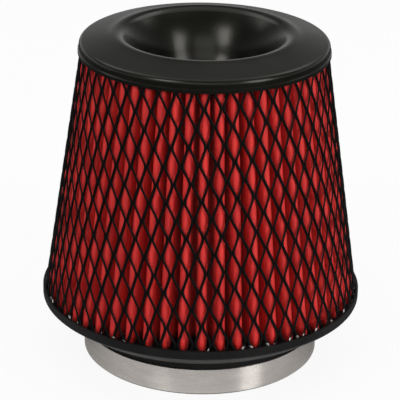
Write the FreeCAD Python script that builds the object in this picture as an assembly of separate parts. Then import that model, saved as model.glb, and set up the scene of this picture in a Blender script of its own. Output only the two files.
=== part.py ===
"""Clamp-on conical air filter for a car engine.

A pleated cotton cone stands between two diamond screens. A moulded cap with a closed funnel
covers the top. A rubber flange holds the cone below and ends in a pipe neck with a worm-drive
clamp. Millimetres, +Z up, origin at the centre of the neck's mouth, axis on Z.
"""
import math
import os

import FreeCAD
import Part

# Neck and flange
PIPE_DIA = 102.0
NECK_WALL = 3.7
NECK_LENGTH = 21.0
MOUTH_CHAMFER = 1.0
NECK_FILLET = 2.0
FLANGE_DIA = 150.0
LIP_DIA = 130.0
LIP_ROUND = 1.0
UNDERSIDE_RISE = 7.0
RIM_HEIGHT = 4.1
RIM_ROUND = 1.2
SEAT_DEPTH = 1.6
UPSTAND_WALL = 3.3
UPSTAND_HEIGHT = 2.5

# Outer screen, from the flange rim to the cap skirt
BODY_HEIGHT = 115.2
SCREEN_INSET = 1.2
SCREEN_THICKNESS = 1.0
SCREEN_COLUMNS = 30
SCREEN_ROWS = 6
STRAND_WIDTH = 1.7
SCREEN_BORDER = 1.2

# Pleated media
PLEAT_COUNT = 56
PLEAT_DEPTH = 16.0
FOLD_FACETS = 2
MEDIA_THICKNESS = 1.3
MEDIA_GAP = 0.3

# Inner screen
INNER_THICKNESS = 0.8
INNER_COLUMNS = 20
INNER_ROWS = 4
INNER_STRAND = 2.6

# Cap
CAP_DIA = 114.6
BEAD_STEP = 0.5
BEAD_HEIGHT = 1.4
SKIRT_LIP = 0.8
POCKET_DEPTH = 1.6
CAP_WALL = 2.0
CAP_HEIGHT = 9.2
CAP_RIM_FILLET = 2.2
ROOF_SLOPE = 14.0
CREST_DIA = 82.0
CREST_RADIUS = 6.0
FLARE_RADIUS = 40.0
FLARE_START = 45.0
FLARE_END = 72.0
RIB_WALL = 1.6
SEAL_DEPTH = 0.9

# Worm-drive clamp
BAND_WIDTH = 12.0
BAND_THICKNESS = 0.8
BAND_BOTTOM = 0.8
HEAD_LEAD = 14.0
TAIL_LEAVE = 32.0
TAIL_PAST = 34.0
SLOT_COUNT = 14
SLOT_PITCH = 3.3
SLOT_WIDTH = 1.5
SLOT_LENGTH = 7.6
SLOT_SLANT = 6.0
HOUSING_SHEET = 0.6
HOUSING_LENGTH = 19.0
WORM_DIA = 8.0
WORM_CHAMFER = 0.6
WORM_OVERHANG = 0.8
HEAD_FLATS = 7.0
HEAD_LENGTH = 5.5
COLLAR_DIA = 9.4
COLLAR_LENGTH = 1.0
DRIVER_SLOT_WIDTH = 1.2
DRIVER_SLOT_DEPTH = 1.6

# Clearances
SCREEN_CLEARANCE = 0.1
BOND_GAP = 0.05
BAND_CLEARANCE = 0.05
WORM_CLEARANCE = 0.2

ORIGIN = FreeCAD.Vector(0, 0, 0)
AXIS_X = FreeCAD.Vector(1, 0, 0)
AXIS_Z = FreeCAD.Vector(0, 0, 1)
FULL_TURN = 360.0

# Heights and radii that several pieces share
neck_bore_r = PIPE_DIA / 2
neck_outer_r = neck_bore_r + NECK_WALL
flange_r = FLANGE_DIA / 2
rim_bottom_z = NECK_LENGTH + UNDERSIDE_RISE
rim_top_z = rim_bottom_z + RIM_HEIGHT
seat_z = rim_top_z - SEAT_DEPTH
skirt_z = rim_top_z + BODY_HEIGHT
skirt_r = CAP_DIA / 2
bead_r = skirt_r + BEAD_STEP
crest_z = skirt_z + CAP_HEIGHT
seal_z = skirt_z + SEAL_DEPTH
screen_top_r = bead_r - SKIRT_LIP - SCREEN_CLEARANCE
screen_bottom_r = flange_r - SCREEN_INSET
cone_slope = (screen_bottom_r - screen_top_r) / BODY_HEIGHT


def screen_radius(z):
    """Outer radius of the outer screen at height z."""
    return screen_bottom_r - cone_slope * (z - rim_top_z)


def media_radius(z):
    """Radius of the outer pleat tips at height z."""
    return screen_radius(z) - SCREEN_THICKNESS - MEDIA_GAP


def inner_screen_radius(z):
    """Outer radius of the inner screen at height z."""
    return media_radius(z) - PLEAT_DEPTH - MEDIA_GAP


def half_plane(radius, z):
    """A point of a turned section, in the XZ half plane."""
    return FreeCAD.Vector(radius, 0, z)


def polar(radius, angle, z):
    """A point at a radius, an angle in radians and a height."""
    return FreeCAD.Vector(radius * math.cos(angle), radius * math.sin(angle), z)


def line(start, end):
    return Part.LineSegment(start, end).toShape()


def arc(start, middle, end):
    return Part.Arc(start, middle, end).toShape()


def lean(centre, radius, degrees):
    """A point on a section arc: 0 is straight up, positive leans towards the axis."""
    angle = math.radians(degrees)
    return centre + half_plane(-radius * math.sin(angle), radius * math.cos(angle))


def section_arc(centre, radius, start, end):
    """An arc of a turned section between two leans in degrees."""
    ends = [lean(centre, radius, value) for value in (start, (start + end) / 2, end)]
    return arc(*ends)


def rounded_outline(corners):
    """Edges of a closed outline of (point, corner radius) pairs, with tangent arcs at the corners."""
    edges = []
    last_end = None
    first_start = None
    for index, (corner, radius) in enumerate(corners):
        before = (corners[index - 1][0] - corner).normalize()
        after = (corners[(index + 1) % len(corners)][0] - corner).normalize()
        half_angle = before.getAngle(after) / 2
        reach = radius / math.tan(half_angle)
        start = corner + before * reach
        end = corner + after * reach
        if last_end is None:
            first_start = start
        else:
            edges.append(line(last_end, start))
        if radius > 0:
            bisector = (before + after).normalize()
            middle = corner + bisector * (radius / math.sin(half_angle) - radius)
            edges.append(arc(start, middle, end))
        last_end = end
    edges.append(line(last_end, first_start))
    return edges


def turned(edges):
    """A solid of revolution about Z from a closed outline in the half plane."""
    section = Part.Face(Part.Wire(edges))
    return section.revolve(ORIGIN, AXIS_Z, FULL_TURN)


def base_flange():
    """Rubber flange with the media seat, an inner upstand and the pipe neck."""
    lip_r = LIP_DIA / 2
    upstand_r = neck_bore_r + UPSTAND_WALL
    upstand_z = seat_z + UPSTAND_HEIGHT
    wall_top_r = screen_radius(rim_top_z) + SCREEN_CLEARANCE
    wall_seat_r = screen_radius(seat_z) + SCREEN_CLEARANCE
    corners = [
        (half_plane(neck_bore_r + MOUTH_CHAMFER, 0), 0),
        (half_plane(neck_outer_r, 0), 0),
        (half_plane(neck_outer_r, NECK_LENGTH), NECK_FILLET),
        (half_plane(lip_r, NECK_LENGTH), LIP_ROUND),
        (half_plane(flange_r, rim_bottom_z), RIM_ROUND),
        (half_plane(flange_r, rim_top_z), 0),
        (half_plane(wall_top_r, rim_top_z), 0),
        (half_plane(wall_seat_r, seat_z), 0),
        (half_plane(upstand_r, seat_z), 0),
        (half_plane(upstand_r, upstand_z), 0),
        (half_plane(neck_bore_r, upstand_z), 0),
        (half_plane(neck_bore_r, MOUTH_CHAMFER), 0),
    ]
    return turned(rounded_outline(corners))


# Centres of the cap's section arcs: rolled lip, funnel flare and round bottom
crest_centre = half_plane(CREST_DIA / 2, crest_z - CREST_RADIUS)
flare_centre = lean(crest_centre, CREST_RADIUS - FLARE_RADIUS, FLARE_START)
flare_foot = lean(flare_centre, FLARE_RADIUS, FLARE_END)
bowl_radius = flare_foot.x / math.sin(math.radians(FLARE_END))
bowl_centre = lean(flare_foot, bowl_radius, FLARE_END)
rib_r = lean(crest_centre, CREST_RADIUS - CAP_WALL, FLARE_START).x
roof_fall = math.tan(math.radians(ROOF_SLOPE))


def roof_point(depth, radius):
    """The point of the roof at a radius, on the surface that lies a depth below the skin."""
    start = lean(crest_centre, CREST_RADIUS - depth, -ROOF_SLOPE)
    return half_plane(radius, start.z - (radius - start.x) * roof_fall)


def cap_skin():
    """Edges of the cap's outer skin, from the bowl's bottom on the axis to the skirt's lower lip."""
    bowl_bottom = lean(bowl_centre, -bowl_radius, 0)
    bowl_middle = lean(bowl_centre, -bowl_radius, FLARE_END / 2)
    roof_start = lean(crest_centre, CREST_RADIUS, -ROOF_SLOPE)
    roof_end = roof_point(0, skirt_r)
    turn = math.radians(90 - ROOF_SLOPE)
    reach = CAP_RIM_FILLET * math.tan(turn / 2)
    roof_tangent = roof_point(0, skirt_r - reach * math.cos(math.radians(ROOF_SLOPE)))
    skirt_tangent = roof_end - half_plane(0, reach)
    rim_centre = skirt_tangent - half_plane(CAP_RIM_FILLET, 0)
    rim_middle = lean(rim_centre, CAP_RIM_FILLET, -(90 + ROOF_SLOPE) / 2)
    bead_top = half_plane(bead_r, skirt_z + BEAD_HEIGHT)
    bead_shoulder = half_plane(skirt_r, skirt_z + BEAD_HEIGHT + BEAD_STEP)
    return [
        arc(bowl_bottom, bowl_middle, flare_foot),
        section_arc(flare_centre, FLARE_RADIUS, FLARE_END, FLARE_START),
        section_arc(crest_centre, CREST_RADIUS, FLARE_START, -ROOF_SLOPE),
        line(roof_start, roof_tangent),
        arc(roof_tangent, rim_middle, skirt_tangent),
        line(skirt_tangent, bead_shoulder),
        line(bead_shoulder, bead_top),
        line(bead_top, half_plane(bead_r, skirt_z)),
    ]


def cap_underside():
    """Edges of the cap's inside, from the skirt's lower lip to the bowl's underside on the axis."""
    pocket_z = skirt_z + POCKET_DEPTH
    trough_r = skirt_r - CAP_WALL
    lip = half_plane(bead_r, skirt_z)
    pocket_mouth = half_plane(screen_radius(skirt_z) + SCREEN_CLEARANCE, skirt_z)
    pocket_end = half_plane(screen_radius(pocket_z) + SCREEN_CLEARANCE, pocket_z)
    trough_edge = half_plane(trough_r, pocket_z)
    roof_outer = roof_point(CAP_WALL, trough_r)
    inner_crest = CREST_RADIUS - CAP_WALL
    roof_inner = lean(crest_centre, inner_crest, -ROOF_SLOPE)
    rib_root = lean(crest_centre, inner_crest, FLARE_START)
    rib_inner_r = rib_r - RIB_WALL
    under_flare = FLARE_RADIUS - CAP_WALL
    rib_lean = math.degrees(math.asin((flare_centre.x - rib_inner_r) / under_flare))
    rib_inner_root = lean(flare_centre, under_flare, rib_lean)
    under_foot = lean(flare_centre, under_flare, FLARE_END)
    under_bowl = bowl_radius + CAP_WALL
    points = [lip, pocket_mouth, pocket_end, trough_edge, roof_outer, roof_inner]
    edges = [line(start, end) for start, end in zip(points, points[1:])]
    edges.append(section_arc(crest_centre, inner_crest, -ROOF_SLOPE, FLARE_START))
    rib = [rib_root, half_plane(rib_r, skirt_z), half_plane(rib_inner_r, skirt_z), rib_inner_root]
    edges.extend(line(start, end) for start, end in zip(rib, rib[1:]))
    edges.append(section_arc(flare_centre, under_flare, rib_lean, FLARE_END))
    bowl_middle = lean(bowl_centre, -under_bowl, FLARE_END / 2)
    edges.append(arc(under_foot, bowl_middle, lean(bowl_centre, -under_bowl, 0)))
    return edges


def top_cap():
    """Moulded cap: skirt with a bead, sloping roof, rolled lip and closed funnel."""
    axis_edge = line(lean(bowl_centre, -bowl_radius - CAP_WALL, 0), lean(bowl_centre, -bowl_radius, 0))
    return turned(cap_skin() + cap_underside() + [axis_edge])


def cap_seal():
    """Sealing compound that fills the cap's trough and takes the ends of the pleats."""
    depth = CAP_WALL + BOND_GAP
    outer_r = skirt_r - depth
    crest = CREST_RADIUS - depth
    inner_top = lean(crest_centre, crest, FLARE_START)
    foot = half_plane(inner_top.x, seal_z)
    edge = half_plane(outer_r, seal_z)
    shoulder = roof_point(depth, outer_r)
    roof_inner = lean(crest_centre, crest, -ROOF_SLOPE)
    points = [inner_top, foot, edge, shoulder, roof_inner]
    edges = [line(start, end) for start, end in zip(points, points[1:])]
    edges.append(section_arc(crest_centre, crest, -ROOF_SLOPE, FLARE_START))
    return turned(edges)


def faceted_wall(sides, bottom_z, top_z, radius_at, thickness):
    """A closed wall of flat facets whose upright edges lie on the cone that radius_at gives."""
    section = [(bottom_z, 0), (top_z, 0), (top_z, thickness), (bottom_z, thickness)]
    faces = []
    for side in range(sides):
        angles = [2 * math.pi * (side + step) / sides for step in (0, 1)]
        for start, end in zip(section, section[1:] + section[:1]):
            near = [polar(radius_at(start[0]) - start[1], angle, start[0]) for angle in angles]
            far = [polar(radius_at(end[0]) - end[1], angle, end[0]) for angle in reversed(angles)]
            faces.append(Part.Face(Part.makePolygon(near + far + near[:1])))
    shell = Part.makeShell(faces)
    shell.sewShape()
    return Part.makeSolid(shell)


def diamond_cutter(angle, z, half_width, low, high, radius_at, depth):
    """A prism through the wall with a diamond outline, or half a diamond where low or high is 0."""
    radial = polar(1, angle, 0)
    across = polar(half_width, angle + math.pi / 2, 0)
    centre = polar(radius_at(z), angle, z)
    outline = [centre - across]
    if low:
        outline.append(polar(radius_at(z - low), angle, z - low))
    outline.append(centre + across)
    if high:
        outline.append(polar(radius_at(z + high), angle, z + high))
    outline = [point - radial * depth for point in outline]
    face = Part.Face(Part.makePolygon(outline + outline[:1]))
    return face.extrude(radial * (2 * depth))


def diamond_screen(bottom_z, top_z, radius_at, thickness, columns, rows, strand, border):
    """A conical wall of one sheet with staggered diamond openings between plain borders."""
    wall = faceted_wall(2 * columns, bottom_z, top_z, radius_at, thickness)
    first_z = bottom_z + border
    last_z = top_z - border
    half_height = (last_z - first_z) / (rows + 1)
    cutters = []
    for row in range(rows + 2):
        z = first_z + half_height * row
        half_width = radius_at(z) * math.pi / columns
        inset = strand / 2 * math.hypot(half_width, half_height) / (half_width * half_height)
        width = half_width * (1 - inset)
        height = half_height * (1 - inset)
        low = height if row > 0 else 0
        high = height if row <= rows else 0
        for column in range(columns):
            angle = 2 * math.pi * (column + 0.5 * (row % 2)) / columns
            cutters.append(diamond_cutter(angle, z, width, low, high, radius_at, 3 * thickness))
    return wall.cut(Part.makeCompound(cutters)).removeSplitter()


def fold_points(centre, radius, start, end):
    """Corners of a faceted fold about a centre between two directions in radians."""
    if not radius:
        return [centre]
    turns = [start + (end - start) * step / FOLD_FACETS for step in range(FOLD_FACETS + 1)]
    return [centre + polar(radius, turn, 0) for turn in turns]


def pleat_outline(z, outer_fold, inner_fold):
    """A closed wire around one face of the pleated sheet at height z.

    The fold radii are those of this face: at the outer tips and at the inner tips. The flanks
    are tangent to both folds, and a fold of radius 0 is a sharp crease.
    """
    half_pitch = math.pi / PLEAT_COUNT
    outer_centre_r = media_radius(z) - MEDIA_THICKNESS
    inner_centre_r = media_radius(z) - PLEAT_DEPTH + MEDIA_THICKNESS
    span = polar(inner_centre_r, half_pitch, z) - polar(outer_centre_r, 0, z)
    flank_turn = math.acos(MEDIA_THICKNESS / span.Length)
    normal = math.atan2(span.y, span.x) - flank_turn
    points = []
    for pleat in range(PLEAT_COUNT):
        tip = 2 * half_pitch * pleat
        root = tip + half_pitch
        points += fold_points(polar(outer_centre_r, tip, z), outer_fold, tip - normal, tip + normal)
        root_start = tip + normal + math.pi
        root_end = root + half_pitch - normal + math.pi
        points += fold_points(polar(inner_centre_r, root, z), inner_fold, root_start, root_end)
    return Part.makePolygon(points + points[:1])


def filter_media():
    """One pleated sheet of cotton gauze closed to a cone, tight creases on the hollow side."""
    cones = []
    for outer_fold, inner_fold in ((MEDIA_THICKNESS, 0), (0, MEDIA_THICKNESS)):
        wires = [pleat_outline(z, outer_fold, inner_fold) for z in (seat_z, seal_z)]
        cones.append(Part.makeLoft(wires, True, True))
    return cones[0].cut(cones[1])


def strip_outline(ring_r, tail_r):
    """Edges along one face of the band: ring, tangent ramp and overlapping tail, with its ends."""
    head = math.radians(90 - HEAD_LEAD)
    leave = math.radians(90 - TAIL_LEAVE) + 2 * math.pi
    ramp = leave + math.acos(ring_r / tail_r)
    tail = math.radians(90 + TAIL_PAST) + 2 * math.pi
    stations = [(ring_r, head, leave), (tail_r, ramp, tail)]
    edges = []
    for radius, start, end in stations:
        middle = (start + end) / 2
        edges.append(arc(*[polar(radius, angle, BAND_BOTTOM) for angle in (start, middle, end)]))
    ramp_edge = line(polar(ring_r, leave, BAND_BOTTOM), polar(tail_r, ramp, BAND_BOTTOM))
    edges.insert(1, ramp_edge)
    return edges, polar(ring_r, head, BAND_BOTTOM), polar(tail_r, tail, BAND_BOTTOM)


# Radii of the clamp's layers at the hidden back: ring, saddle plate, tail and worm
ring_r = neck_outer_r + BAND_CLEARANCE
plate_r = ring_r + BAND_THICKNESS + BAND_CLEARANCE
tail_r = plate_r + HOUSING_SHEET + BAND_CLEARANCE
worm_r = WORM_DIA / 2
worm_y = tail_r + BAND_THICKNESS + BAND_CLEARANCE + worm_r
band_mid_z = BAND_BOTTOM + BAND_WIDTH / 2


def clamp_band():
    """Steel strip: a full ring, then a slotted tail that passes over its own head end."""
    inner, inner_head, inner_tail = strip_outline(ring_r, tail_r)
    outer, outer_head, outer_tail = strip_outline(ring_r + BAND_THICKNESS, tail_r + BAND_THICKNESS)
    ends = [line(inner_tail, outer_tail), line(inner_head, outer_head)]
    strip = Part.Face(Part.Wire(Part.__sortEdges__(inner + outer + ends)))
    band = strip.extrude(AXIS_Z * BAND_WIDTH)
    slots = []
    for index in range(SLOT_COUNT):
        slot = Part.makeBox(SLOT_WIDTH, 2 * BAND_THICKNESS, SLOT_LENGTH)
        slot.translate(FreeCAD.Vector(-SLOT_WIDTH / 2, -BAND_THICKNESS, -SLOT_LENGTH / 2))
        slot.rotate(ORIGIN, FreeCAD.Vector(0, 1, 0), SLOT_SLANT)
        slot.translate(FreeCAD.Vector(0, tail_r + BAND_THICKNESS / 2, band_mid_z))
        turn = math.degrees(SLOT_PITCH / tail_r) * (index - SLOT_COUNT / 3)
        slot.rotate(ORIGIN, AXIS_Z, turn)
        slots.append(slot)
    return band.cut(Part.makeCompound(slots))


def arch_bar(half_width, length):
    """A bar along X with a round top about the worm's axis and straight sides down to the neck."""
    top = FreeCAD.Vector(0, worm_y + half_width, band_mid_z)
    sides = [FreeCAD.Vector(0, worm_y, band_mid_z + side * half_width) for side in (-1, 1)]
    feet = [FreeCAD.Vector(0, neck_bore_r, band_mid_z + side * half_width) for side in (-1, 1)]
    edges = [
        line(feet[0], sides[0]),
        arc(sides[0], top, sides[1]),
        line(sides[1], feet[1]),
        line(feet[1], feet[0]),
    ]
    bar = Part.Face(Part.Wire(edges)).extrude(AXIS_X * length)
    bar.translate(AXIS_X * (-length / 2))
    return bar


def clamp_housing():
    """Pressed saddle: a curved plate on the ring, a passage for the tail and an arch over the worm."""
    slot_width = BAND_WIDTH + 2 * BAND_CLEARANCE
    foot_width = slot_width + 2 * HOUSING_SHEET
    slot_r = tail_r + BAND_THICKNESS + BAND_CLEARANCE
    foot = Part.makeBox(HOUSING_LENGTH, slot_r + HOUSING_SHEET - neck_bore_r, foot_width)
    foot.translate(FreeCAD.Vector(-HOUSING_LENGTH / 2, neck_bore_r, band_mid_z - foot_width / 2))
    bore_r = worm_r + WORM_CLEARANCE
    shell = foot.fuse(arch_bar(bore_r + HOUSING_SHEET, HOUSING_LENGTH))
    tall = 2 * BAND_WIDTH
    tall_base = FreeCAD.Vector(0, 0, band_mid_z - BAND_WIDTH)
    plate_top = Part.makeCylinder(tail_r - BAND_CLEARANCE, tall, tall_base)
    worm_space = arch_bar(bore_r, 2 * HOUSING_LENGTH).cut(plate_top)
    slot_base = FreeCAD.Vector(0, 0, band_mid_z - slot_width / 2)
    passage = Part.makeCylinder(slot_r, slot_width, slot_base).cut(plate_top)
    ring_space = Part.makeCylinder(plate_r, tall, tall_base)
    return shell.cut(worm_space).cut(passage).cut(ring_space).removeSplitter()


def clamp_screw():
    """Worm screw with a collar and a slotted hexagon head."""
    worm_length = HOUSING_LENGTH + 2 * WORM_OVERHANG
    start = FreeCAD.Vector(-worm_length / 2, worm_y, band_mid_z)
    shank = Part.makeCylinder(worm_r, worm_length, start, AXIS_X)
    far_edges = [edge for edge in shank.Edges if edge.BoundBox.XMax < start.x + BOND_GAP]
    shank = shank.makeChamfer(WORM_CHAMFER, far_edges)
    collar_start = start + AXIS_X * worm_length
    collar = Part.makeCylinder(COLLAR_DIA / 2, COLLAR_LENGTH, collar_start, AXIS_X)
    head_start = collar_start + AXIS_X * COLLAR_LENGTH
    corner_r = HEAD_FLATS / 2 / math.cos(math.pi / 6)
    corners = []
    for side in range(6):
        angle = math.pi / 3 * side
        corner = FreeCAD.Vector(0, corner_r * math.cos(angle), corner_r * math.sin(angle))
        corners.append(head_start + corner)
    head = Part.Face(Part.makePolygon(corners + corners[:1])).extrude(AXIS_X * HEAD_LENGTH)
    driver = Part.makeBox(DRIVER_SLOT_DEPTH, DRIVER_SLOT_WIDTH, 2 * corner_r)
    driver_x = HEAD_LENGTH - DRIVER_SLOT_DEPTH
    driver.translate(head_start + FreeCAD.Vector(driver_x, -DRIVER_SLOT_WIDTH / 2, -corner_r))
    return shank.fuse([collar, head]).cut(driver).removeSplitter()


def build():
    """All pieces by node name."""
    screen_top = skirt_z + POCKET_DEPTH - BOND_GAP
    return {
        "base_flange": base_flange(),
        "outer_mesh": diamond_screen(seat_z, screen_top, screen_radius, SCREEN_THICKNESS,
                                     SCREEN_COLUMNS, SCREEN_ROWS, STRAND_WIDTH, SCREEN_BORDER),
        "filter_media": filter_media(),
        "inner_mesh": diamond_screen(seat_z, seal_z, inner_screen_radius, INNER_THICKNESS,
                                     INNER_COLUMNS, INNER_ROWS, INNER_STRAND, SCREEN_BORDER),
        "cap_seal": cap_seal(),
        "top_cap": top_cap(),
        "clamp_band": clamp_band(),
        "clamp_housing": clamp_housing(),
        "clamp_screw": clamp_screw(),
    }


os.makedirs("parts", exist_ok=True)
for name, shape in build().items():
    shape.exportStep(os.path.join("parts", name + ".step"))
    print(name, shape.ShapeType, len(shape.Solids), shape.isValid(), round(shape.Volume))
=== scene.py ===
import math
from dataclasses import dataclass

import bpy
from mathutils import Euler, Matrix, Vector, noise


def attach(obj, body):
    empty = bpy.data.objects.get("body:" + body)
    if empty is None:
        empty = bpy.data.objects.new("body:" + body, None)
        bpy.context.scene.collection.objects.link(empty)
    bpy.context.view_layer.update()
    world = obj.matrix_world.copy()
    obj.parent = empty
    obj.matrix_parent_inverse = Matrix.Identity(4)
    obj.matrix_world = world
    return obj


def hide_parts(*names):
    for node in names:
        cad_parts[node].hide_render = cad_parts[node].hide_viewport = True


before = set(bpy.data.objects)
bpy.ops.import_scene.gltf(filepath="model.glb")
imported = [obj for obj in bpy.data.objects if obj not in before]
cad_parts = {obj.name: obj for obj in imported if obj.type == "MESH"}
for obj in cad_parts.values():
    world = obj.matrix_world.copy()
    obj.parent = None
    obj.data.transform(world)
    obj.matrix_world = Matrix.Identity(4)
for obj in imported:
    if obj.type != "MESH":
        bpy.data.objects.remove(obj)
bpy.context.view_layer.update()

# Looks of the clamp-on cone filter. Lengths of the shapes are in millimetres, those of the materials, the floor,
# the lamps and the camera's place in metres. Turns run about Z from the front, which is -Y, towards +X.
MM = 0.001

# Cone that the screens and the pleats follow
RIM_Z = 32.1
SEAT_Z = 30.5
SEAL_Z = 148.2
SCREEN_TOP_Z = 148.85
SCREEN_RIM_R = 73.8
CONE_SLOPE = 16.9 / 115.2
slope_angle = math.atan(CONE_SLOPE)
slope_sin = math.sin(slope_angle)
slope_cos = math.cos(slope_angle)

# Expanded metal: staggered cells with their long way up the flat sheet
CELL_WIDTH = 7.95
CELL_LENGTH = 16.3
BOND_LENGTH = 1.5
BOND_OVERLAP = 0.3
STRAND_WIDTH = 1.4
STRAND_THICKNESS = 0.65
STRAND_FLAT_SHARE = 0.62
STRAND_TILT = math.radians(20)
STRAND_CENTRE = -0.5
STEPS_PER_CELL = 12
SPARE_STEPS = 6
EDGE_HALVINGS = 20
SEAM_LAP = 7.0
OUTER_MIDDLE = math.radians(34)
OUTER_CELL = (-34.1, 487.7)
INNER_MIDDLE = math.radians(-60)
INNER_CELL = (0.0, 380.0)

# Pleated cotton
PLEATS = 56
PLEAT_DEPTH = 16.0
TIP_INSET = 1.3
INNER_GAP = 0.3
CLOTH_THICKNESS = 1.0
TIP_FOLD = 1.5
ROOT_FOLD = 0.9
FOLD_STEPS = 5
FLANK_STEPS = 3
PLEAT_LEVELS = 26
PLEAT_PHASE = 0.08
FRONT_SPREAD = 0.06

# Wander of the folds: shares of a pleat, a dent in millimetres, the noise's steps and its seeds
TIP_WANDER = 0.07
ROOT_WANDER = 0.05
TIP_DENT = 0.5
WANDER_STEP = 3.71
WANDER_LENGTH = 55.0
TIP_SEED = 1.0
ROOT_SEED = 9.0
DENT_SEED = 17.0

# Colours of the cap, and of the cotton with the painted shade in the gaps between its threads
CAP_BLACKS = ((0.0030, 0.0030, 0.0022, 1.0), (0.0048, 0.0046, 0.0034, 1.0))
COTTON_REDS = ((0.72, 0.034, 0.028, 1.0), (0.54, 0.020, 0.020, 1.0))
COTTON_GAP_SHADE = (0.27, 0.009, 0.010, 1.0)

# Zones of the materials: radii where the cap's dull roof starts and ends, and the screen's bare strand ends
ROOF_STARTS = (0.041, 0.046)
ROOF_ENDS = (0.0555, 0.0570)
ROOF_DULLNESS = 0.13
BARE_HEIGHTS = (0.0326, 0.0332)
BARE_SIDES = (-0.01, 0.03)
BARE_SIDE_SHARES = (-0.09, 0.03)

# Scales of drawn-out patterns: the cotton's threads and streaks, the steel's lines and smears
THREAD_SCALE = 330.0
STREAK_SCALE = (260.0, 32.0, 1.0)
LINE_SCALE = (5.0, 4200.0, 1.0)
SMEAR_SCALE = (2.5, 260.0, 1.0)

# Studio: shares of white in the floor, and strengths of the world
SEEN_WHITE = 0.90
SEEN_WORLD = 0.94
GLOSS_WHITE = 0.52
WORLD_FILL = 0.39
GLOSS_HORIZON = 1.0
GLOSS_ZENITH = 0.14
GLOSS_ZENITH_HEIGHT = 0.46

# Floor, and how it fades in gloss: with the distance from the part, and behind it
FLOOR_HALF = 6.0
FADE_DISTANCES = (0.07, 0.22)
FADE_SHARES = (0.05, 0.90)
FADE_BEHIND = (-0.06, 0.01)
FADE_BEHIND_SHARE = 0.72

# Middle lamps: name, place, width, length, watts
LAMP_AIM = (0.0, 0.0, 0.09)
MIDDLE_LAMPS = (
    ("top_light", (0.0, 0.25, 1.25), 1.3, 0.9, 3.5),
    ("front_fill", (0.0, -1.35, 0.85), 1.0, 0.5, 2.4),
)

# Side lamps: name, degrees from the front, height, width, length, watts
SIDE_LAMPS = (
    ("left_light", -38, 0.97, 0.42, 0.60, 6.0),
    ("right_light", 49.5, 0.52, 0.40, 0.85, 7.0),
    ("back_left_light", -125, 1.40, 0.95, 0.70, 4.5),
    ("back_right_light", 130, 1.40, 0.95, 0.70, 4.5),
)
SIDE_DISTANCE = 1.15

# Camera fitted to the photograph's circles: place, angles in radians, lens and sensor in millimetres
CAMERA_PLACE = (0.0, -0.87035, 0.4403)
CAMERA_PITCH = 0.3987
CAMERA_ROLL = 0.0172
CAMERA_LENS = 181.03
CAMERA_SENSOR = 36.0
CAMERA_SHIFT_X = -0.00525


@dataclass(frozen=True)
class ConeSheet:
    """A flat sheet rolled to a cone: across is the way round, along runs from the cone's apex."""

    apex_z: float
    near: float
    far: float
    middle_turn: float

    def holds(self, across, along):
        distance = math.hypot(across, along)
        spread = math.atan2(across, along)
        half_spread = math.pi * slope_sin
        in_height = self.near <= distance <= self.far
        return in_height and -half_spread <= spread <= half_spread + SEAM_LAP / distance

    def place(self, across, along, lift):
        """The point in metres, with the lapped edge one sheet lower than the rest."""
        distance = math.hypot(across, along)
        spread = math.atan2(across, along)
        lap = (spread - math.pi * slope_sin) * distance / SEAM_LAP + 1
        lift -= STRAND_THICKNESS * smooth_step(lap)
        turn = self.middle_turn + spread / slope_sin
        radius = distance * slope_sin + lift * slope_cos
        height = self.apex_z - distance * slope_cos + lift * slope_sin
        return round_point(radius, turn, height)


def smooth_step(value):
    held = min(max(value, 0.0), 1.0)
    return held * held * (3 - 2 * held)


def round_point(radius, turn, height):
    """A point in metres from a radius, a turn from the front and a height in millimetres."""
    return (radius * math.sin(turn) * MM, -radius * math.cos(turn) * MM, height * MM)


def mesh_piece(name, points, faces, material):
    """A smooth mesh piece that rides on the filter."""
    mesh = bpy.data.meshes.new(name)
    mesh.from_pydata(points, [], faces)
    mesh.validate()
    mesh.shade_smooth()
    piece = bpy.data.objects.new(name, mesh)
    bpy.context.scene.collection.objects.link(piece)
    mesh.materials.append(material)
    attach(piece, "root")
    return piece


def strand_wave(phase):
    """Sideways swing of a strand from -1 to 1: level at the bonds, straight between them."""
    share = phase - math.floor(phase)
    ramp = CELL_LENGTH / (CELL_LENGTH - 2 * BOND_LENGTH)
    return min(max((1 - abs(4 * share - 2)) * ramp, -1.0), 1.0)


def strand_across(index, along, cell):
    """Where a strand lies across the flat sheet at a distance along it."""
    reach = CELL_WIDTH / 4 - (STRAND_WIDTH - BOND_OVERLAP) / 2
    swing = reach * strand_wave((along - cell[1]) / CELL_LENGTH)
    side = -1 if index % 2 else 1
    return cell[0] + CELL_WIDTH * (2 * index - 1) / 4 + side * swing


def sheet_edge(sheet, index, cell, inner_along, outer_along):
    """The point where a strand crosses the sheet's edge, between a point in it and one out of it."""
    for _ in range(EDGE_HALVINGS):
        middle = (inner_along + outer_along) / 2
        if sheet.holds(strand_across(index, middle, cell), middle):
            inner_along = middle
        else:
            outer_along = middle
    return strand_across(index, inner_along, cell), inner_along


def strand_runs(sheet, index, cell):
    """Runs of points of one strand that lie in the sheet, cut off at the sheet's edges."""
    step = CELL_LENGTH / STEPS_PER_CELL
    nearest = sheet.near * math.cos(math.pi * slope_sin)
    first = math.floor((nearest - cell[1]) / step) - SPARE_STEPS
    last = math.ceil((sheet.far - cell[1]) / step) + 1
    runs = []
    run = []
    before = None
    for number in range(first, last + 1):
        along = cell[1] + number * step
        across = strand_across(index, along, cell)
        if sheet.holds(across, along):
            if not run and before is not None:
                run.append(sheet_edge(sheet, index, cell, along, before))
            run.append((across, along))
        elif run:
            run.append(sheet_edge(sheet, index, cell, before, along))
            runs.append(run)
            run = []
        before = along
    return [run for run in runs if len(run) > 2]


def strand_section():
    """Half width and height offsets of the coated strand's six-sided section."""
    wide = STRAND_WIDTH / 2
    flat = wide * STRAND_FLAT_SHARE
    high = STRAND_THICKNESS / 2
    return [(-wide, 0), (-flat, high), (flat, high), (wide, 0), (flat, -high), (-flat, -high)]


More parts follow.
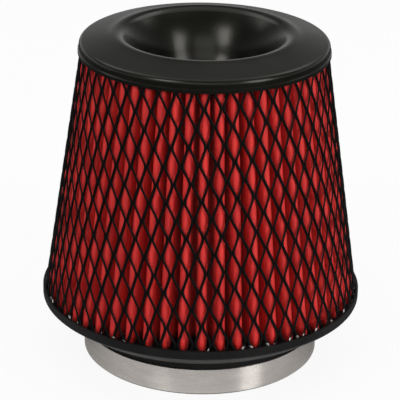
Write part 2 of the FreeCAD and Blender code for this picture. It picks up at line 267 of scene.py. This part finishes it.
def strand_rings(sheet, run):
    """Rings of points around one run of a strand, tilted the way that stretching tilts it."""
    steepest = (CELL_WIDTH - 2 * STRAND_WIDTH) / (CELL_LENGTH - 2 * BOND_LENGTH)
    rings = []
    for number, (across, along) in enumerate(run):
        before = run[max(number - 1, 0)]
        after = run[min(number + 1, len(run) - 1)]
        way = Vector((after[0] - before[0], after[1] - before[1])).normalized()
        tilt = STRAND_TILT * min(max(way.x / way.y / steepest, -1), 1)
        ring = []
        for wide, high in strand_section():
            side = wide * math.cos(tilt) - high * math.sin(tilt)
            lift = wide * math.sin(tilt) + high * math.cos(tilt) + STRAND_CENTRE
            ring.append(sheet.place(across + way.y * side, along - way.x * side, lift))
        rings.append(ring)
    return rings


def add_tube(points, faces, rings):
    """Add a closed tube through rings of points."""
    start = len(points)
    sides = len(rings[0])
    for ring in rings:
        points.extend(ring)
    for number in range(len(rings) - 1):
        low = start + number * sides
        for side in range(sides):
            following = (side + 1) % sides
            faces.append((low + side, low + following, low + sides + following, low + sides + side))
    faces.append([start + side for side in reversed(range(sides))])
    faces.append([start + (len(rings) - 1) * sides + side for side in range(sides)])


def expanded_screen(name, rim_radius, top_z, middle_turn, cell, material):
    """A cone of expanded metal whose wavy strands join at the bonds."""
    apex_z = RIM_Z + rim_radius / CONE_SLOPE
    near = (apex_z - top_z) / slope_cos
    far = (apex_z - SEAT_Z) / slope_cos
    sheet = ConeSheet(apex_z, near, far, middle_turn)
    reach = far * math.sin(math.pi * slope_sin) + SEAM_LAP
    first = math.floor((-reach - cell[0]) / (CELL_WIDTH / 2))
    last = math.ceil((reach - cell[0]) / (CELL_WIDTH / 2))
    points = []
    faces = []
    for index in range(first, last + 2):
        for run in strand_runs(sheet, index, cell):
            add_tube(points, faces, strand_rings(sheet, run))
    return mesh_piece(name, points, faces, material)


def screen_radius(z):
    """Outer radius of the outer screen."""
    return SCREEN_RIM_R - CONE_SLOPE * (z - RIM_Z)


def wander(number, z, seed):
    """Slow, repeatable wander from -1 to 1 of one fold along its height."""
    return noise.noise(Vector((number * WANDER_STEP, z / WANDER_LENGTH, seed)))


def pleat_turn(count):
    """Turn of a fold counted in pleats: they stand a little wider at the front than at the back."""
    even = count * 2 * math.pi / PLEATS
    return even + FRONT_SPREAD * math.sin(even)


def fold_centres(z):
    """Centres of the outer and inner folds at a height, as plain vectors in millimetres."""
    tip_r = screen_radius(z) - TIP_INSET - CLOTH_THICKNESS / 2 - TIP_FOLD
    root_r = tip_r - PLEAT_DEPTH + CLOTH_THICKNESS + TIP_FOLD + ROOT_FOLD
    tips = []
    roots = []
    for number in range(PLEATS):
        tip_turn = pleat_turn(number + PLEAT_PHASE + TIP_WANDER * wander(number, z, TIP_SEED))
        root_turn = pleat_turn(number + PLEAT_PHASE + 0.5 + ROOT_WANDER * wander(number, z, ROOT_SEED))
        dent = TIP_DENT * abs(wander(number, z, DENT_SEED))
        tips.append(Vector((math.sin(tip_turn), -math.cos(tip_turn))) * (tip_r - dent))
        roots.append(Vector((math.sin(root_turn), -math.cos(root_turn))) * root_r)
    return tips, roots


def flank_direction(tip, root, side):
    """Angle from the tip fold's centre to the point where it meets the straight flank."""
    span = root - tip
    return math.atan2(span.y, span.x) - side * math.acos((TIP_FOLD + ROOT_FOLD) / span.length)


def fold_arc(centre, radius, start, end, sign):
    """Pairs of points, on the outer and on the inner face, around one fold."""
    while end < start and sign > 0:
        end += 2 * math.pi
    while end > start and sign < 0:
        end -= 2 * math.pi
    pairs = []
    for step in range(FOLD_STEPS + 1):
        angle = start + (end - start) * step / FOLD_STEPS
        way = Vector((math.cos(angle), math.sin(angle)))
        outer = radius + sign * CLOTH_THICKNESS / 2
        inner = radius - sign * CLOTH_THICKNESS / 2
        pairs.append((centre + way * outer, centre + way * inner))
    return pairs


def flank(start, end):
    """Pairs of points on the straight part between two folds, without its ends."""
    shares = [step / FLANK_STEPS for step in range(1, FLANK_STEPS)]
    return [tuple(a.lerp(b, share) for a, b in zip(start, end)) for share in shares]


def pleat_level(z):
    """Pairs of points around the whole pleated sheet at one height."""
    tips, roots = fold_centres(z)
    arcs = []
    for number in range(PLEATS):
        tip = tips[number]
        root = roots[number]
        following = tips[(number + 1) % PLEATS]
        arrive = flank_direction(tip, roots[number - 1], -1)
        leave = flank_direction(tip, root, 1)
        arrive_next = flank_direction(following, root, -1)
        arcs.append(fold_arc(tip, TIP_FOLD, arrive, leave, 1))
        arcs.append(fold_arc(root, ROOT_FOLD, leave + math.pi, arrive_next + math.pi, -1))
    pairs = []
    for number, arc in enumerate(arcs):
        pairs.extend(arc)
        pairs.extend(flank(arc[-1], arcs[(number + 1) % len(arcs)][0]))
    return pairs


def running_lengths(ring):
    """Lengths in metres along a closed ring of points, from its first point round to it again."""
    run = [0.0]
    for number, point in enumerate(ring):
        following = ring[(number + 1) % len(ring)]
        run.append(run[-1] + (following - point).length * MM)
    return run


def pleated_cloth(name, material):
    """The cotton sheet: rounded pleats that wander a little, with a map in metres for its weave."""
    heights = [SEAT_Z + (SEAL_Z - SEAT_Z) * level / (PLEAT_LEVELS - 1) for level in range(PLEAT_LEVELS)]
    levels = [pleat_level(z) for z in heights]
    count = len(levels[0])
    points = []
    for z, level in zip(heights, levels):
        for face in (0, 1):
            points.extend((pair[face].x * MM, pair[face].y * MM, z * MM) for pair in level)
    run = running_lengths([pair[0] for pair in levels[PLEAT_LEVELS // 2]])
    faces = []
    uvs = []
    for level in range(PLEAT_LEVELS - 1):
        low = level * 2 * count
        high = low + 2 * count
        rise = (heights[level] * MM, heights[level + 1] * MM)
        for number in range(count):
            following = (number + 1) % count
            left = (run[number], run[number + 1])
            outer = (low + number, low + following, high + following, high + number)
            inner = tuple(index + count for index in reversed(outer))
            corners = [(left[0], rise[0]), (left[1], rise[0]), (left[1], rise[1]), (left[0], rise[1])]
            faces.append(outer)
            uvs.extend(corners)
            faces.append(inner)
            uvs.extend(reversed(corners))
    top = (PLEAT_LEVELS - 1) * 2 * count
    for number in range(count):
        following = (number + 1) % count
        ends = [(run[number], 0.0), (run[number + 1], 0.0), (run[number + 1], MM), (run[number], MM)]
        faces.append((number, number + count, following + count, following))
        uvs.extend(ends)
        faces.append((top + number, top + following, top + following + count, top + number + count))
        uvs.extend(ends)
    piece = mesh_piece(name, points, faces, material)
    layer = piece.data.uv_layers.new(name="cloth")
    layer.data.foreach_set("uv", [value for uv in uvs for value in uv])
    return piece, run[-1]


class Surface:
    """A material under construction: its nodes, and the shader that they feed."""

    def __init__(self, name):
        self.material = bpy.data.materials.new(name)
        self.material.use_nodes = True
        self.tree = self.material.node_tree
        self.shader = self.tree.nodes["Principled BSDF"]

    def feed(self, socket, value):
        if isinstance(value, bpy.types.NodeSocket):
            self.tree.links.new(value, socket)
        else:
            socket.default_value = value

    def node(self, kind, inputs=None, **settings):
        """A node with its settings and inputs, where an input is a value or another node's output."""
        made = self.tree.nodes.new(kind)
        for key, value in settings.items():
            setattr(made, key, value)
        for key, value in (inputs or {}).items():
            self.feed(made.inputs[key], value)
        return made

    def finish(self, **inputs):
        """Set the shader's sockets by name, with underscores for spaces."""
        for key, value in inputs.items():
            self.feed(self.shader.inputs[key.replace("_", " ")], value)
        return self.material

    def place(self):
        """Place on the part in metres."""
        return self.node("ShaderNodeTexCoord").outputs["Object"]

    def axes(self, vector):
        """The X, Y and Z of a vector."""
        return self.node("ShaderNodeSeparateXYZ", {"Vector": vector}).outputs

    def length(self, vector):
        return self.node("ShaderNodeVectorMath", {0: vector}, operation="LENGTH").outputs["Value"]

    def cloud(self, where, scale, detail=3.0, roughness=0.55):
        """Soft noise from 0 to 1."""
        inputs = {"Vector": where, "Scale": scale, "Detail": detail, "Roughness": roughness}
        return self.node("ShaderNodeTexNoise", inputs).outputs["Fac"]

    def drawn_cloud(self, where, scales, detail=3.0, roughness=0.55):
        """Soft noise drawn out by a scale for each axis."""
        drawn = self.node("ShaderNodeMapping", {"Vector": where, "Scale": scales}).outputs["Vector"]
        return self.cloud(drawn, 1.0, detail, roughness)

    def spread(self, value, low, high, new_low=0.0, new_high=1.0):
        """A value moved from one range to another, held within it."""
        inputs = {0: value, 1: low, 2: high, 3: new_low, 4: new_high}
        return self.node("ShaderNodeMapRange", inputs).outputs["Result"]

    def math(self, operation, first, second=0.0):
        return self.node("ShaderNodeMath", {0: first, 1: second}, operation=operation).outputs["Value"]

    def blend(self, share, first, second):
        """A colour between two colours."""
        inputs = {"Factor": share, "A": first, "B": second}
        made = self.node("ShaderNodeMix", data_type="RGBA")
        for key, value in inputs.items():
            sockets = [socket for socket in made.inputs if socket.name == key and socket.enabled]
            self.feed(sockets[0], value)
        return [socket for socket in made.outputs if socket.enabled][0]

    def mix(self, share, first, second):
        """A shader between two shaders."""
        return self.node("ShaderNodeMixShader", {0: share, 1: first, 2: second}).outputs["Shader"]

    def bump(self, height, strength, depth):
        """A bump of a height from 0 to 1, with its depth in metres."""
        inputs = {"Height": height, "Strength": strength, "Distance": depth}
        return self.node("ShaderNodeBump", inputs).outputs["Normal"]


def grey(value, warm=1.0):
    return (value * warm, value, value / warm, 1.0)


def moulded_plastic():
    """Satin black moulding: fine grain, faint patches of gloss and a duller roof."""
    surface = Surface("cap_plastic")
    where = surface.place()
    grain = surface.cloud(where, 2600.0, 2.0)
    patches = surface.cloud(where, 45.0)
    axes = surface.axes(where)
    level = surface.node("ShaderNodeCombineXYZ", {"X": axes["X"], "Y": axes["Y"]}).outputs["Vector"]
    radius = surface.length(level)
    past_lip = surface.spread(radius, *ROOF_STARTS)
    roof = surface.math("MULTIPLY", past_lip, surface.spread(radius, *ROOF_ENDS, 1.0, 0.0))
    gloss = surface.spread(patches, 0.3, 0.7, 0.22, 0.29)
    return surface.finish(
        Base_Color=surface.blend(surface.spread(patches, 0.35, 0.65), *CAP_BLACKS),
        Roughness=surface.math("ADD", gloss, surface.math("MULTIPLY", roof, ROOF_DULLNESS)),
        IOR=1.36,
        Specular_Tint=(1.0, 0.985, 0.90, 1.0),
        Normal=surface.bump(grain, 0.12, 0.00008),
    )


def moulded_rubber():
    """Black moulded rubber: dull bloom in patches and a fine grain."""
    surface = Surface("neck_rubber")
    where = surface.place()
    grain = surface.cloud(where, 1900.0, 3.0)
    bloom = surface.cloud(where, 60.0, 4.0)
    colour = surface.blend(surface.spread(bloom, 0.35, 0.7), grey(0.003, 1.02), grey(0.008, 1.02))
    return surface.finish(
        Base_Color=colour,
        Roughness=surface.spread(bloom, 0.3, 0.7, 0.42, 0.55),
        IOR=1.24,
        Normal=surface.bump(grain, 0.2, 0.0001),
    )


def coated_mesh():
    """Black coated strands, with some bare cut ends at the rim and more of them at the right."""
    surface = Surface("mesh_black")
    where = surface.place()
    axes = surface.axes(where)
    patches = surface.cloud(where, 150.0, 1.0)
    near_end = surface.spread(axes["Z"], *BARE_HEIGHTS, 1.0, 0.0)
    sideways = surface.spread(axes["X"], *BARE_SIDES, *BARE_SIDE_SHARES)
    worn = surface.math("ADD", patches, sideways)
    bare = surface.math("MULTIPLY", near_end, surface.spread(worn, 0.50, 0.54))
    shade = surface.cloud(where, 500.0, 3.0)
    coat = surface.blend(shade, grey(0.0008), grey(0.0025))
    return surface.finish(
        Base_Color=surface.blend(bare, coat, grey(0.75, 1.02)),
        Metallic=bare,
        Roughness=surface.spread(shade, 0.3, 0.7, 0.36, 0.5),
        IOR=1.20,
        Normal=surface.bump(shade, 0.25, 0.00006),
    )


def bare_aluminium():
    """Dull aluminium strands."""
    surface = Surface("inner_metal")
    where = surface.place()
    shade = surface.cloud(where, 420.0, 4.0)
    return surface.finish(
        Base_Color=surface.blend(shade, grey(0.48), grey(0.66)),
        Metallic=1.0,
        Roughness=surface.spread(shade, 0.3, 0.7, 0.32, 0.5),
        Normal=surface.bump(shade, 0.2, 0.00005),
    )


def oiled_cotton():
    """Red oiled gauze: crossed threads with painted shade in the gaps between them, darker oil streaks down the
    pleats and a soft sheen.
    """
    surface = Surface("media_red")
    cloth = surface.node("ShaderNodeTexCoord").outputs["UV"]
    threads = []
    for direction in ("X", "Y"):
        inputs = {"Vector": cloth, "Scale": THREAD_SCALE, "Distortion": 0.6, "Detail": 1.0}
        wave = surface.node("ShaderNodeTexWave", inputs, bands_direction=direction)
        threads.append(wave.outputs["Fac"])
    weave = surface.math("MULTIPLY", threads[0], threads[1])
    streaks = surface.drawn_cloud(cloth, STREAK_SCALE)
    oiled = surface.blend(surface.spread(streaks, 0.35, 0.68), *COTTON_REDS)
    # Painted shade: between the crossed threads the red darkens towards the deep red of the gaps
    colour = surface.blend(surface.spread(weave, 0.0, 0.5, 0.28, 0.0), oiled, COTTON_GAP_SHADE)
    return surface.finish(
        Base_Color=colour,
        Roughness=surface.spread(streaks, 0.3, 0.7, 0.46, 0.62),
        IOR=1.33,
        Sheen_Weight=0.08,
        Sheen_Roughness=0.4,
        Sheen_Tint=(1.0, 0.55, 0.5, 1.0),
        Normal=surface.bump(weave, 0.5, 0.00018),
    )


def cast_compound():
    """Dark cast compound with a slightly wavy skin."""
    surface = Surface("seal_compound")
    where = surface.place()
    skin = surface.cloud(where, 120.0, 4.0)
    return surface.finish(
        Base_Color=surface.blend(skin, grey(0.012), grey(0.03)),
        Roughness=surface.spread(skin, 0.3, 0.7, 0.4, 0.6),
        Normal=surface.bump(skin, 0.4, 0.0005),
    )


def brushed_steel():
    """Stainless strip brushed along its length, with fine lines and faint smears."""
    surface = Surface("clamp_steel")
    axes = surface.axes(surface.place())
    turn = surface.math("ARCTAN2", axes["X"], axes["Y"])
    strip = surface.node("ShaderNodeCombineXYZ", {"X": turn, "Y": axes["Z"]}).outputs["Vector"]
    lines = surface.drawn_cloud(strip, LINE_SCALE, 4.0, 0.7)
    smears = surface.drawn_cloud(strip, SMEAR_SCALE)
    tangent = surface.node("ShaderNodeTangent", direction_type="RADIAL", axis="Z")
    return surface.finish(
        Base_Color=surface.blend(surface.spread(smears, 0.3, 0.7), grey(0.52, 1.07), grey(0.61, 1.07)),
        Metallic=1.0,
        Roughness=surface.spread(lines, 0.25, 0.75, 0.24, 0.32),
        Anisotropic=1.0,
        Anisotropic_Rotation=0.25,
        Tangent=tangent.outputs["Tangent"],
        Normal=surface.bump(lines, 0.18, 0.00004),
    )


def seen_ray(surface):
    """1 for rays from the camera and through glass."""
    rays = surface.node("ShaderNodeLightPath").outputs
    return surface.math("MAXIMUM", rays["Is Camera Ray"], rays["Is Transmission Ray"])


def studio_floor():
    """Pale floor: white to the camera, and fading in gloss with distance and behind the part."""
    surface = Surface("studio_floor")
    where = surface.place()
    shade = surface.cloud(where, 3.0, 2.0)
    colour = surface.blend(shade, grey(0.78), grey(0.80))
    pale = surface.node("ShaderNodeBsdfDiffuse", {"Color": colour}).outputs["BSDF"]
    white = surface.node("ShaderNodeEmission", {"Strength": 1.0}).outputs["Emission"]
    dark = surface.node("ShaderNodeEmission", {"Strength": 0.0}).outputs["Emission"]
    far = surface.spread(surface.length(where), *FADE_DISTANCES, *FADE_SHARES)
    behind = surface.spread(surface.axes(where)["Y"], *FADE_BEHIND, 0.0, FADE_BEHIND_SHARE)
    fading = surface.math("MAXIMUM", far, behind)
    glossy = surface.mix(fading, surface.mix(GLOSS_WHITE, pale, white), dark)
    rays = surface.node("ShaderNodeLightPath").outputs
    lit = surface.mix(rays["Is Glossy Ray"], pale, glossy)
    final = surface.mix(seen_ray(surface), lit, surface.mix(SEEN_WHITE, pale, white))
    surface.feed(surface.tree.nodes["Material Output"].inputs["Surface"], final)
    return surface.material


class WorldSurface(Surface):
    """The world's own node tree, with the same helpers."""

    def __init__(self, world):
        world.use_nodes = True
        self.tree = world.node_tree
        self.shader = self.tree.nodes["Background"]


def studio_world():
    """Even grey fill that is white to the camera and darkens overhead in gloss."""
    world = bpy.data.worlds.new("studio")
    surface = WorldSurface(world)
    way = surface.node("ShaderNodeTexCoord").outputs["Generated"]
    height = surface.axes(way)["Z"]
    rays = surface.node("ShaderNodeLightPath").outputs
    overhead = surface.spread(
        height, 0.0, GLOSS_ZENITH_HEIGHT, GLOSS_HORIZON - WORLD_FILL, GLOSS_ZENITH - WORLD_FILL
    )
    glossy = surface.math("MULTIPLY", rays["Is Glossy Ray"], overhead)
    seen = surface.math("MULTIPLY", seen_ray(surface), SEEN_WORLD - WORLD_FILL)
    strength = surface.math("ADD", surface.math("ADD", glossy, seen), WORLD_FILL)
    surface.feed(surface.shader.inputs["Color"], grey(1.0))
    surface.feed(surface.shader.inputs["Strength"], strength)
    bpy.context.scene.world = world


def softbox(name, place, width, length, power):
    """A rectangular lamp that faces the part."""
    lamp = bpy.data.lights.new(name, "AREA")
    lamp.shape = "RECTANGLE"
    lamp.size = width
    lamp.size_y = length
    lamp.energy = power
    made = bpy.data.objects.new(name, lamp)
    made.location = place
    made.visible_camera = False
    made.rotation_euler = (Vector(LAMP_AIM) - Vector(place)).to_track_quat("-Z", "Y").to_euler()
    bpy.context.scene.collection.objects.link(made)


def studio_lights():
    for name, place, width, length, power in MIDDLE_LAMPS:
        softbox(name, place, width, length, power)
    for name, degrees, height, width, length, power in SIDE_LAMPS:
        turn = math.radians(degrees)
        place = (SIDE_DISTANCE * math.sin(turn), -SIDE_DISTANCE * math.cos(turn), height)
        softbox(name, place, width, length, power)


def studio_stage():
    floor_mesh = bpy.data.meshes.new("floor")
    half = FLOOR_HALF
    corners = [(-half, -half, 0), (half, -half, 0), (half, half, 0), (-half, half, 0)]
    floor_mesh.from_pydata(corners, [], [(0, 1, 2, 3)])
    floor = bpy.data.objects.new("floor", floor_mesh)
    floor_mesh.materials.append(studio_floor())
    bpy.context.scene.collection.objects.link(floor)


def studio_camera():
    data = bpy.data.cameras.new("photo_view")
    data.lens = CAMERA_LENS
    data.sensor_width = CAMERA_SENSOR
    data.shift_x = CAMERA_SHIFT_X
    camera = bpy.data.objects.new("photo_view", data)
    pitched = Euler((math.pi / 2 - CAMERA_PITCH, 0, 0)).to_matrix()
    turned = pitched @ Matrix.Rotation(CAMERA_ROLL, 3, "Z")
    camera.matrix_world = Matrix.Translation(CAMERA_PLACE) @ turned.to_4x4()
    bpy.context.scene.collection.objects.link(camera)
    bpy.context.scene.camera = camera


def dress_node(node, material):
    """Give a CAD node its material."""
    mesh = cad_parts[node].data
    mesh.materials.clear()
    mesh.materials.append(material)


def dress_filter():
    steel = brushed_steel()
    dress_node("top_cap", moulded_plastic())
    dress_node("base_flange", moulded_rubber())
    dress_node("cap_seal", cast_compound())
    for node in ("clamp_band", "clamp_housing", "clamp_screw"):
        dress_node(node, steel)
    outer = expanded_screen(
        "mesh_cone", SCREEN_RIM_R, SCREEN_TOP_Z, OUTER_MIDDLE, OUTER_CELL, coated_mesh()
    )
    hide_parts("outer_mesh")
    inner_rim_r = SCREEN_RIM_R - TIP_INSET - PLEAT_DEPTH - INNER_GAP
    inner = expanded_screen(
        "inner_cone", inner_rim_r, SEAL_Z, INNER_MIDDLE, INNER_CELL, bare_aluminium()
    )
    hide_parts("inner_mesh")
    cloth, cloth_length = pleated_cloth("cotton_pleats", oiled_cotton())
    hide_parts("filter_media")


dress_filter()
studio_world()
studio_lights()
studio_stage()
studio_camera()
bpy.context.scene.view_settings.view_transform = "Standard"
